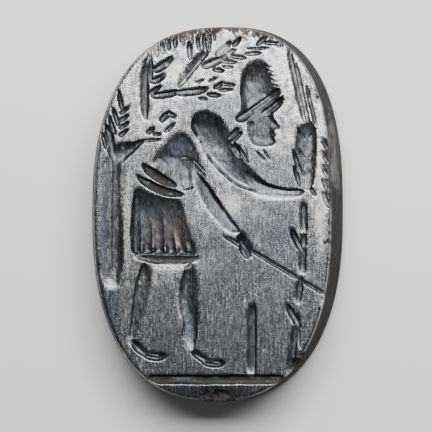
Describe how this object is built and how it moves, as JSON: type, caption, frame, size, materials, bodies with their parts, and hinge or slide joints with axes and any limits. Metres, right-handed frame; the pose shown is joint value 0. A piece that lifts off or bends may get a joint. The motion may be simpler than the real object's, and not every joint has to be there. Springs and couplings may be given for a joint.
{
  "type": "engraved gem",
  "caption": "Tall oval seal stone of dark haematite, flat behind, its face cut in intaglio with a reaper in a hat among trees and wheat.",
  "frame": {"origin": "middle of the flat back", "axes": "+Y towards the top of the engraved picture, +X to its right, +Z out of the engraved face"},
  "size_m": [0.0148, 0.0224, 0.0038],
  "materials": {
    "haematite": "dark grey metallic stone, finely streaked by polishing, with duller cut hollows and rust-brown patches on its edge"
  },
  "bodies": {
    "root": {"engraved_gem": "haematite"}
  },
  "joints": []
}
